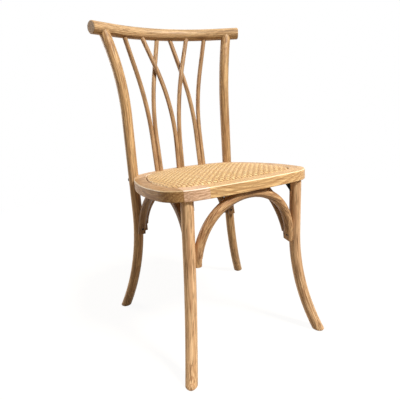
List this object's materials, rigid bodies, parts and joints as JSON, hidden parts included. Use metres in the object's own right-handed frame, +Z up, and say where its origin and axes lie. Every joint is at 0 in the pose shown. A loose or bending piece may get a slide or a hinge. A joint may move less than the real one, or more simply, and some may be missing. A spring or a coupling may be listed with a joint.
{
  "type": "dining chair",
  "caption": "Bentwood dining chair with splayed legs, arched leg braces, crossed spindle back, curved top rail and a woven rattan seat.",
  "frame": {"origin": "the floor under the middle of the chair", "axes": "+Z up, the chair faces -Y, X = 0 is its middle plane and +X is its left side for someone sitting on it"},
  "size_m": [0.4942, 0.488, 0.8882],
  "materials": {
    "oak_side_board": "satin oil",
    "oak_back_board": "satin oil",
    "oak_front_long": "satin oil",
    "oak_front_short": "satin oil",
    "beech_dowel": "satin oil",
    "plywood": "satin oil",
    "oak_leg": "satin oil",
    "oak_post": "satin oil",
    "oak_arch": "satin oil",
    "oak_rail": "satin oil",
    "oak_spindle": "satin oil",
    "woven_rattan": "woven rattan, satin",
    "black_steel": "matt black",
    "bolt_steel": "dull steel",
    "screw_steel": "dull steel"
  },
  "bodies": {
    "root": {"seat_side_board_right": "oak_side_board", "seat_side_board_left": "oak_side_board", "seat_back_board": "oak_back_board", "seat_front_board_long": "oak_front_long", "seat_front_board_short": "oak_front_short", "seam_dowels": "beech_dowel", "seat_board": "plywood", "front_leg_right": "oak_leg", "front_leg_left": "oak_leg", "rear_post_right": "oak_post", "rear_post_left": "oak_post", "arch_front": "oak_arch", "arch_back": "oak_arch", "arch_right": "oak_arch", "arch_left": "oak_arch", "top_rail": "oak_rail", "spindle_outer_right": "oak_spindle", "spindle_inner_right": "oak_spindle", "spindle_middle_right": "oak_spindle", "spindle_outer_left": "oak_spindle", "spindle_inner_left": "oak_spindle", "spindle_middle_left": "oak_spindle", "rattan_seat": "woven_rattan", "corner_bracket_right": "black_steel", "corner_bracket_left": "black_steel", "bracket_screws": "black_steel", "post_bolts": "bolt_steel", "post_barrel_nuts": "bolt_steel", "seat_board_screws": "screw_steel", "arch_end_screws": "screw_steel", "arch_crown_screws": "screw_steel"}
  },
  "joints": []
}
